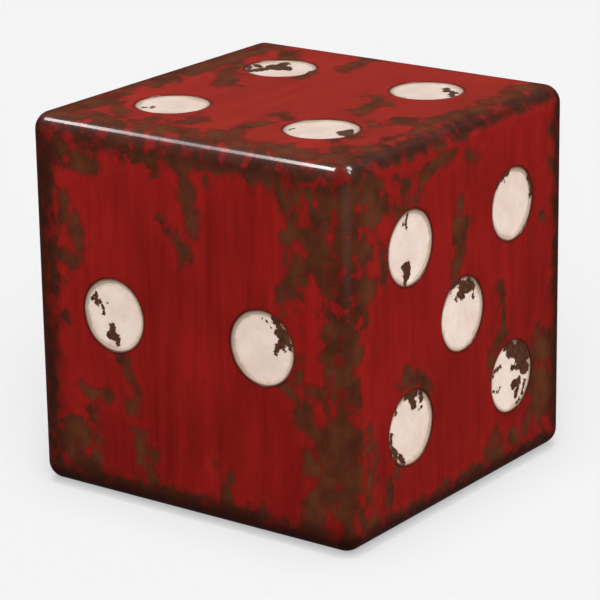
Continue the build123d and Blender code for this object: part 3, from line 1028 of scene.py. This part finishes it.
def dish_profile(radius):
    """Radius, depth, lean of the normal and out for each row of points, from the middle to the ring."""
    ring_inner = radius - PIP_RIM_WIDTH
    wall_lean = math.atan2(PIP_DISH_DEPTH - PIP_RIM_DROP, PIP_WALL_SPREAD)
    floor_edge = ring_inner - PIP_WALL_SPREAD - PIP_COVE * math.tan(wall_lean / 2)
    rows = [(floor_edge * share, PIP_DISH_DEPTH, 0.0, share) for share in np.linspace(0, 1, PIP_FLOOR_RINGS)]
    for share in np.linspace(0, 1, COVE_ROWS + 1)[1:]:
        lean = wall_lean * share
        x = floor_edge + PIP_COVE * math.sin(lean)
        depth = PIP_DISH_DEPTH - PIP_COVE * (1 - math.cos(lean))
        rows.append((x, depth, lean, 1 + (COVE_OUT - 1) * share))
    start_radius, start_depth = rows[-1][:2]
    for share in np.linspace(0, 1, WALL_ROWS + 1)[1:]:
        x = start_radius + (ring_inner - start_radius) * share
        depth = start_depth + (PIP_RIM_DROP - start_depth) * share
        rows.append((x, depth, wall_lean, COVE_OUT + (RING_OUT - COVE_OUT) * share))
    return rows


# Rooms on a pip's map: the dish is a disc, and the back and the side have a corner and a size each.
PIP_MAP_MIDDLE = 0.47
PIP_MAP_RADIUS = 0.455
PIP_BACK_ROOM = (0.95, 0.05, 0.04)
PIP_SIDE_ROOM = (0.95, 0.15, 0.04, 0.80)


def build_pip(face, node, paint):
    """One dished pip: floor, cove, wall, flat ring, side and back."""
    middle, radius, back_depth = pip_place(face, node)
    spokes = around(np.linspace(0, 2 * math.pi, PIP_SEGMENTS + 1))
    patches = Patchwork()

    def sweep(rows, map_radii):
        places = PIP_MAP_MIDDLE + map_radii[:, None, None] * spokes
        patches.grid(*turned_rows(middle, spokes, rows), places, PAINT_SLOT)

    dish = dish_profile(radius)
    ring = [(dish[-1][0], PIP_RIM_DROP, 0.0, RING_OUT), (radius, PIP_RIM_DROP, 0.0, RIM_OUT)]
    face_rows = dish + ring[1:]
    steps = [math.dist(before[:2], after[:2]) for before, after in zip(face_rows, face_rows[1:])]
    travel = np.concatenate([[0.0], np.cumsum(steps)])
    travel *= PIP_MAP_RADIUS / travel[-1]
    sweep(dish, travel[:-1])
    sweep(ring, travel[-2:])

    side_rows = [(radius, depth, -math.pi / 2) for depth in (PIP_RIM_DROP, back_depth)]
    side, normals = turned_rows(middle, spokes, side_rows)
    x, y, width, length = PIP_SIDE_ROOM
    along = np.linspace(y, y + length, len(spokes))
    places = np.stack(np.meshgrid([x, x + width], along, indexing="ij"), -1)
    patches.grid(side, normals, places, PAINT_SLOT)
    patches.polygon(side[1, :-1], (0, 0, -1), PIP_BACK_ROOM, PAINT_SLOT)

    chips = CHIPS.get(node) or invented_chips(node)
    lines = [(width * MM, CHIP_PEAK, middle + radius * np.array(line) / 100) for width, *line in chips]
    distances, outs = np.array(face_rows)[:, [0, 3]].T

    def chip(local):
        return stroke_level(local[:, :2], lines, [], CHIP_FADE)

    def out(local):
        return np.interp(np.linalg.norm(local[:, :2] - middle, axis=1), distances, outs)

    made = patches.build(f"painted_{node}", [paint], {"chip": chip, "out": out})
    return settle(made, face, node)


# ---- Light and floor ----
FLOOR_SIZE = 30.0
FLOOR_GLOW = 0.43  # the floor is also lit through from below, as on a light table, so that shadows stay faint
FLOOR_WHITE = 0.12
WORLD_TOP = 0.20
WORLD_HORIZON = 0.05
WORLD_HORIZON_TOP = 0.25  # how high the dim part reaches, as the sine of an elevation

# Soft lights, each with the direction it comes from, its strength and its width in degrees. The floor has
# lights of its own, so that the die has a tight soft shadow round its foot and no long ones.
DIE_SUNS = {
    "overhead": ((-0.1, -0.15, 0.98), 1.22, 90),
    "left_box": ((-0.76, -0.58, 0.32), 2.55, 55),
    "right_box": ((0.80, 0.45, 0.32), 2.6, 55),
    "camera_side": ((0.64, -0.76, 0.2), 1.42, 60),
}
FLOOR_SUNS = {
    "floor_above": ((0, 0, 1), 4.5, 24),
    "floor_front": ((0.30, -0.40, 0.87), 4.95, 50),
    "floor_side": ((0.50, -0.68, 0.53), 6.2, 32),
}

# The powers of a row of softboxes that mirror along the edge between front and top, from its left end.
EDGE_ROW = (14.0, 9.0, 5.4, 3.8, 3.6, 4.8, 9.0, 21.0)
EDGE_ROW_START = (-2.113, -1.04, 2.40)  # from the cube's centre
EDGE_ROW_SIZE = (0.1068, 0.8)
EDGE_ROW_BACK = (0, -0.37, 0.93)

# Round softboxes that mirror on the near corner and beside it, each with its direction, its distance, its
# size, its power and the point that it is placed from.
TOP_CORNER = (HALF, -HALF, EDGE * 0.9)
ROUND_SOFTBOXES = {
    "ball_light": ((0.40, 0.24, 0.88), 3.0, (1.15, 1.15), 110, CENTRE),
    "tail_light": ((0.665, -0.03, 0.745), 3.0, (0.4, 0.9), 40, CENTRE),
    "corner_light_wide": ((0.768, -0.562, -0.306), 0.5, (0.50, 0.26), 0.17, TOP_CORNER),
    "corner_light_narrow": ((0.768, -0.562, -0.306), 0.5, (0.24, 0.26), 0.09, TOP_CORNER),
}


def make_floor():
    mesh = bpy.data.meshes.new("floor")
    half = FLOOR_SIZE / 2
    corners = [(-half, -half, 0), (half, -half, 0), (half, half, 0), (-half, half, 0)]
    mesh.from_pydata(corners, [], [(0, 1, 2, 3)])
    g = Graph("floor")
    diffuse = g.add("ShaderNodeBsdfDiffuse", {"Color": (FLOOR_WHITE, FLOOR_WHITE, FLOOR_WHITE, 1)})
    glow = g.add("ShaderNodeEmission", {"Color": (1, 1, 1, 1), "Strength": FLOOR_GLOW})
    both = g.add("ShaderNodeAddShader", {0: diffuse.outputs[0], 1: glow.outputs[0]})
    mesh.materials.append(g.finish(both))
    floor = add_object("floor", mesh)
    # The die gets no light or reflection from the bright floor, which would wash out its lower half.
    floor.visible_glossy = False
    floor.visible_diffuse = False
    return floor


def make_sun(name, towards, strength, angle):
    """A soft light as wide as angle, in degrees, from the direction towards. It makes no highlight."""
    data = bpy.data.lights.new(name, "SUN")
    data.energy = strength
    data.angle = math.radians(angle)
    sun = add_object(name, data)
    sun.rotation_euler = Vector(towards).to_track_quat("Z", "Y").to_euler()
    sun.visible_glossy = False
    return sun


def make_softbox(name, shape, place, backwards, size, power):
    """A flat light with its back towards backwards, which only makes highlights."""
    data = bpy.data.lights.new(name, "AREA")
    data.shape = shape
    data.size, data.size_y = size
    data.energy = power
    box = add_object(name, data)
    box.location = place
    box.rotation_euler = backwards.to_track_quat("Z", "Y").to_euler()
    box.visible_diffuse = False
    box.visible_camera = False


def make_world():
    """A studio that is pale overhead and dim at the horizon."""
    world = bpy.data.worlds.new("world")
    bpy.context.scene.world = world
    world.use_nodes = True
    tree = world.node_tree
    direction = tree.nodes.new("ShaderNodeTexCoord")
    height = tree.nodes.new("ShaderNodeSeparateXYZ")
    level = tree.nodes.new("ShaderNodeMapRange")
    level.interpolation_type = "SMOOTHSTEP"
    level.inputs["From Min"].default_value = WORLD_HORIZON_TOP
    level.inputs["To Min"].default_value = WORLD_HORIZON
    level.inputs["To Max"].default_value = WORLD_TOP
    background = tree.nodes["Background"]
    background.inputs["Color"].default_value = (1, 1, 1, 1)
    tree.links.new(direction.outputs["Generated"], height.inputs[0])
    tree.links.new(height.outputs["Z"], level.inputs["Value"])
    tree.links.new(level.outputs["Result"], background.inputs["Strength"])


def make_lights(floor):
    floor_only, all_but_floor = (bpy.data.collections.new(name) for name in ("floor_only", "all_but_floor"))
    for collection in (floor_only, all_but_floor):
        collection.objects.link(floor)
    all_but_floor.collection_objects[0].light_linking.link_state = "EXCLUDE"
    for suns, lit in ((DIE_SUNS, all_but_floor), (FLOOR_SUNS, floor_only)):
        for name, (towards, strength, angle) in suns.items():
            make_sun(name, towards, strength, angle).light_linking.receiver_collection = lit

    for number, power in enumerate(EDGE_ROW):
        step = Vector((number * EDGE_ROW_SIZE[0], 0, 0))
        place = Vector(CENTRE) + Vector(EDGE_ROW_START) + step
        make_softbox(f"edge_light_{number}", "RECTANGLE", place, Vector(EDGE_ROW_BACK), EDGE_ROW_SIZE, power)
    for name, (towards, distance, size, power, start) in ROUND_SOFTBOXES.items():
        place = Vector(start) + Vector(towards) * distance
        make_softbox(name, "ELLIPSE", place, Vector(towards), size, power)


# ---- Making it all ----
make_camera()
make_world()
make_lights(make_floor())

SIDE_REDS = (colour(110, 17, 13), colour(148, 26, 22))
SIDE_BROWNS = (colour(68, 32, 18), colour(95, 50, 28))
# The top paint, which the bottom shares, has lighter and warmer reds and browns than the sides': painted
# light for the brighter light and sheen on the top.
TOP_REDS = (colour(130, 27, 19), colour(164, 42, 30))
TOP_BROWNS = (colour(80, 35, 13), colour(108, 58, 32))
SIDE_PAINT = red_paint("red_paint_sides", SIDE_GRAIN, SIDE_REDS, SIDE_BROWNS, softness=0.17, stain=0.42)
TOP_PAINT = red_paint("red_paint_top", TOP_GRAIN, TOP_REDS, TOP_BROWNS, softness=0.28, stain=0.58)
WOOD = bare_wood("bare_wood", colour(205, 170, 125), colour(170, 128, 84), SIDE_GRAIN)
PLYWOOD = bare_wood("plywood", colour(214, 184, 140), colour(186, 150, 104), TOP_GRAIN)
CREAM = cream_paint("cream_paint")
STEEL = zinc_steel()
NYLON = nylon()

for face in FACES:
    build_panel(face, TOP_PAINT if face in ("top", "bottom") else SIDE_PAINT, WOOD)
    for pip in pip_nodes(face):
        build_pip(face, pip, CREAM)

# The CAD pieces that show as they are, by the end of their names.
CAD_FINISHES = {
    "_post": WOOD,
    "_cleat": WOOD,
    "_spline": PLYWOOD,
    "_screws": STEEL,
    "_nails": STEEL,
    "_glide": NYLON,
}
for name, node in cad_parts.items():
    for ending, material in CAD_FINISHES.items():
        if name.endswith(ending):
            node.data.materials.clear()
            node.data.materials.append(material)

bpy.context.scene.view_settings.view_transform = "Standard"
